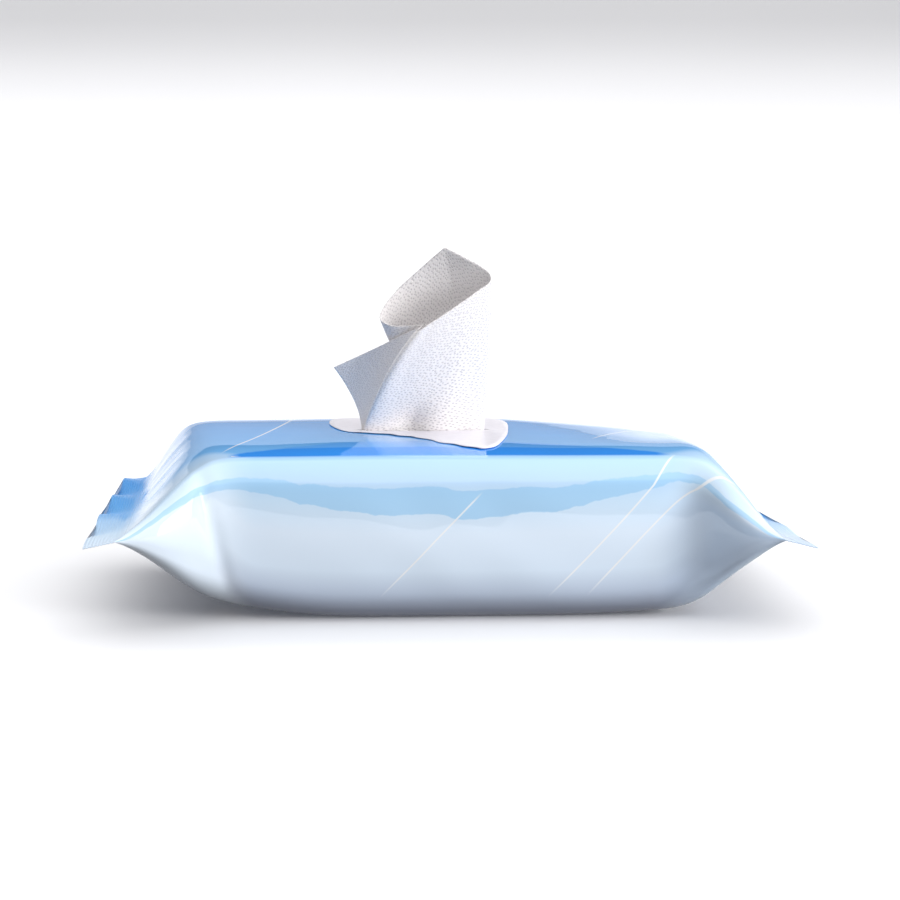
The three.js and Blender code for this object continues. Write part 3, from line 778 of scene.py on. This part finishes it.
def fold_tree(material):
    """A node tree that folds one wipe once and lays it at its levels in the stack."""
    tree = bpy.data.node_groups.new("folded_wipe", "GeometryNodeTree")
    face = tree.interface
    face.new_socket("Geometry", in_out="INPUT", socket_type="NodeSocketGeometry")
    for name, value in (
        ("Half length", 0.0745), ("Half width", 0.0484), ("Upper level", 0.0), ("Lower level", 2.0),
        ("Side", 1.0), ("Top height", 0.0513), ("Base height", 0.0008), ("Left rise", 0.0055),
        ("Right rise", 0.002), ("Right fall", 0.006), ("Bend", 0.042), ("Free edge", 0.0012),
        ("Levels", 2.0 * STACK_COUNT), ("Stack reach", 0.080), ("Film half width", 0.051),
    ):
        socket = face.new_socket(name, in_out="INPUT", socket_type="NodeSocketFloat")
        socket.default_value = value
    face.new_socket("Geometry", in_out="OUTPUT", socket_type="NodeSocketGeometry")
    given = add(tree, "NodeGroupInput").node.outputs
    math_node = "ShaderNodeMath"
    length = add(tree, math_node, {0: given["Half length"], 1: 2.0}, operation="MULTIPLY")
    sheet = add(
        tree, "GeometryNodeMeshGrid",
        {"Size X": length, "Size Y": 1.0, "Vertices X": 22, "Vertices Y": 57},
    )
    place = add(tree, "ShaderNodeSeparateXYZ", {0: add(tree, "GeometryNodeInputPosition")})
    x, run = place.node.outputs[0], place.node.outputs[1]
    # Half of the cloth lies on each side of the fold: the distance from the fold sets how far back it lies.
    from_fold = add(tree, math_node, {0: run}, operation="ABSOLUTE")
    reach = add(tree, math_node, {0: given["Half width"], 1: 2.0}, operation="MULTIPLY")
    reach = add(tree, math_node, {0: reach, 1: given["Free edge"]}, operation="SUBTRACT")
    back = add(tree, math_node, {0: from_fold, 1: 2.0}, operation="MULTIPLY")
    back = add(tree, math_node, {0: back, 1: reach}, operation="MULTIPLY")
    y = add(tree, math_node, {0: given["Half width"], 1: back}, operation="SUBTRACT")
    y = add(tree, math_node, {0: y, 1: given["Side"]}, operation="MULTIPLY")
    level = add(
        tree, "ShaderNodeMapRange",
        {0: run, 1: -0.012, 2: 0.012, 3: given["Upper level"], 4: given["Lower level"]},
        interpolation_type="SMOOTHSTEP",
    )
    level = add(tree, math_node, {0: level, 1: given["Levels"]}, operation="DIVIDE")
    # The base lifts towards both ends and the top falls away at the right end's back.
    size = add(tree, math_node, {0: x}, operation="ABSOLUTE")
    share = add(tree, math_node, {0: size, 1: given["Stack reach"]}, operation="DIVIDE")
    lift = add(tree, "ShaderNodeMapRange", {0: share, 1: FLAT_SHARE, 2: 1.0})
    lift = add(tree, math_node, {0: lift, 1: lift}, operation="MULTIPLY")
    on_right = add(tree, math_node, {0: x, 1: 0.0}, operation="GREATER_THAN")
    rise = add(
        tree, "ShaderNodeMapRange", {0: on_right, 3: given["Left rise"], 4: given["Right rise"]}
    )
    lift = add(tree, math_node, {0: lift, 1: rise}, operation="MULTIPLY")
    front = add(tree, math_node, {0: given["Film half width"], 1: -1.0}, operation="MULTIPLY")
    across = add(tree, "ShaderNodeMapRange", {0: y, 1: front, 2: given["Film half width"]})
    fall = add(tree, math_node, {0: share, 1: share}, operation="MULTIPLY")
    fall = add(tree, math_node, {0: fall, 1: across}, operation="MULTIPLY")
    fall = add(tree, math_node, {0: fall, 1: given["Right fall"]}, operation="MULTIPLY")
    fall = add(tree, math_node, {0: fall, 1: on_right}, operation="MULTIPLY")
    over = add(tree, math_node, {0: y}, operation="ABSOLUTE")
    over = add(tree, math_node, {0: over, 1: given["Bend"]}, operation="SUBTRACT")
    over = add(tree, math_node, {0: over, 1: 0.0}, operation="MAXIMUM")
    slope = add(tree, math_node, {0: over, 1: 0.5}, operation="MULTIPLY")
    top = add(tree, math_node, {0: given["Top height"], 1: fall}, operation="SUBTRACT")
    top = add(tree, math_node, {0: top, 1: slope}, operation="SUBTRACT")
    base = add(tree, math_node, {0: given["Base height"], 1: lift}, operation="ADD")
    base = add(tree, math_node, {0: base, 1: slope}, operation="ADD")
    height = add(tree, "ShaderNodeMapRange", {0: level, 3: top, 4: base}, clamp=False)
    position = add(tree, "ShaderNodeCombineXYZ", {0: x, 1: y, 2: height})
    laid = add(tree, "GeometryNodeSetPosition", {"Geometry": sheet, "Position": position})
    smooth = add(tree, "GeometryNodeSetShadeSmooth", {0: laid})
    mapped = add(tree, "ShaderNodeCombineXYZ", {0: x, 1: run})
    stored = add(
        tree, "GeometryNodeStoreNamedAttribute", {"Geometry": smooth, "Name": "cloth", "Value": mapped},
        data_type="FLOAT2", domain="CORNER",
    )
    whole = add(tree, "GeometryNodeRealizeInstances", {0: stored})
    painted = add(tree, "GeometryNodeSetMaterial", {"Geometry": whole, "Material": material})
    add(tree, "NodeGroupOutput", {0: painted})
    return tree


def build_folded_wipe(tree, index):
    """One wipe of the stack. Each wipe interleaves with the next, and its fold faces the other way."""
    name = f"folded_wipe_{index + 1:02d}"
    seed = bpy.data.objects.new(name + "_cloth", bpy.data.meshes.new(name + "_cloth"))
    bpy.context.scene.collection.objects.link(seed)
    folding = seed.modifiers.new("fold", "NODES")
    folding.node_group = tree
    last = STACK_COUNT - 1
    set_inputs(folding, {
        "Upper level": 0.5 if index == 0 else 2.0 * index - 0.5,
        "Lower level": 2.0 * index + 1.5 if index == last else 2.0 * index + 2.5,
        "Side": 1.0 if index % 2 == 0 else -1.0,
    })
    thicken(seed, FOLDED_CLOTH, 0.0)
    return plain_copy(seed, name + "_cloth")


# ---- Assembly ----


def settle(piece, *nodes, slot):
    """Rides a finished piece on the pack in place of its CAD solids."""
    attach(piece, "root")
    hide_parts(*nodes)
    return piece


film_material = printed_film()
label_material = label_film()
wipe_material = moist_nonwoven()

film = settle(build_film(film_material), "film_wrap", slot="printed_film")
label = settle(build_label(label_material), "dispensing_label", slot="label_film")
drawn = settle(build_drawn_wipe(wipe_material), "drawn_wipe", slot="nonwoven")

folds = fold_tree(wipe_material)
for index in range(STACK_COUNT):
    wipe = build_folded_wipe(folds, index)
    settle(wipe, f"folded_wipe_{index + 1:02d}", slot="nonwoven")


# ---- Stage, light and camera ----


def build_stage():
    """A white floor that sweeps up into a low wall far behind the pack, under a grey board out of sight."""
    white = matt_stage("matt_white_studio_paper", "#f3f3f5", "#f5f5f7")
    grey = matt_stage("matt_grey_studio_board", "#c4c7cd", "#c8cbd1")
    bend = 0.25
    angles = np.linspace(0, math.pi / 2, 12)
    turn = [(3.1 + bend * math.sin(a), bend - bend * math.cos(a)) for a in angles]
    floor = stage_sheet("studio_floor", 1.15, [(-1.2, 0.0)] + turn + [(3.35, 0.30)], white)
    # No light comes back from the floor, so the underside goes dark.
    floor.visible_diffuse = False
    stage_sheet("studio_board", 2.6, [(3.4, 0.29), (3.4, 0.68)], grey)


def stage_sheet(name, half_width, profile, material):
    """A wide sheet that follows a profile of (y, z), all in metres."""
    points = [(x / MM, y / MM, z / MM) for y, z in profile for x in (-half_width, half_width)]
    faces = [(2 * i, 2 * i + 1, 2 * i + 3, 2 * i + 2) for i in range(len(profile) - 1)]
    sheet = make_mesh(name, points, faces, material)
    return sheet


def softbox(name, location, target, width, height, power, mirrored=True):
    """A soft rectangular light that faces its target. Only a mirrored one shows in the film's gloss."""
    lamp = bpy.data.lights.new(name, "AREA")
    lamp.shape = "RECTANGLE"
    lamp.size, lamp.size_y = width, height
    lamp.energy = power
    light = bpy.data.objects.new(name, lamp)
    bpy.context.scene.collection.objects.link(light)
    light.location = location
    light.visible_glossy = mirrored
    light.rotation_mode = "QUATERNION"
    light.rotation_quaternion = (Vector(target) - Vector(location)).to_track_quat("-Z", "Y")


def studio_air():
    """Even white air for the eye and for matt light, and a dim room for what the film mirrors."""
    world = bpy.data.worlds.new("studio")
    world.use_nodes = True
    tree = world.node_tree
    tree.nodes.clear()
    ray = add(tree, "ShaderNodeLightPath")
    seen, mirrored = ray.node.outputs["Is Camera Ray"], ray.node.outputs["Is Glossy Ray"]
    strength = add(tree, "ShaderNodeMapRange", {0: mirrored, 3: 0.19, 4: 0.06})
    seen = add(tree, "ShaderNodeMath", {0: seen, 1: 1.1}, operation="MULTIPLY")
    strength = add(tree, "ShaderNodeMath", {0: seen, 1: strength}, operation="MAXIMUM")
    air = add(tree, "ShaderNodeBackground", {"Color": ink("#fbfbff"), "Strength": strength})
    add(tree, "ShaderNodeOutputWorld", {"Surface": air})
    bpy.context.scene.world = world


def place_camera():
    """A long lens a little above the pack and slightly to its left."""
    data = bpy.data.cameras.new("camera")
    data.sensor_width = 36
    data.lens = 105.8
    camera = bpy.data.objects.new("camera", data)
    bpy.context.scene.collection.objects.link(camera)
    camera.location = (-0.0347, -0.8879, 0.1770)
    camera.rotation_euler = (math.radians(90 - 8.23), 0, math.radians(-2.39))
    bpy.context.scene.camera = camera


build_stage()
on_pack = (0, -0.03, 0.05)
softbox("overhead", (0.0, -0.47, 1.15), (0, -0.47, 0), 3.0, 2.2, 20)
softbox("key", (1.04, -0.47, 0.28), on_pack, 0.36, 0.55, 2.2)
softbox("fill", (1.25, -0.95, 0.36), on_pack, 0.7, 0.6, 21, mirrored=False)
softbox("left_fill", (-1.1, -1.0, 0.4), on_pack, 0.5, 0.5, 1.6, mirrored=False)
softbox("card", (-0.62, 1.0, 0.62), (-0.05, 0, 0.05), 0.9, 0.65, 1.5, mirrored=False)
softbox("backdrop", (0.0, 2.3, 2.0), (0, 2.3, 0), 6.0, 2.4, 110, mirrored=False)
studio_air()
place_camera()
bpy.context.scene.view_settings.view_transform = "Standard"
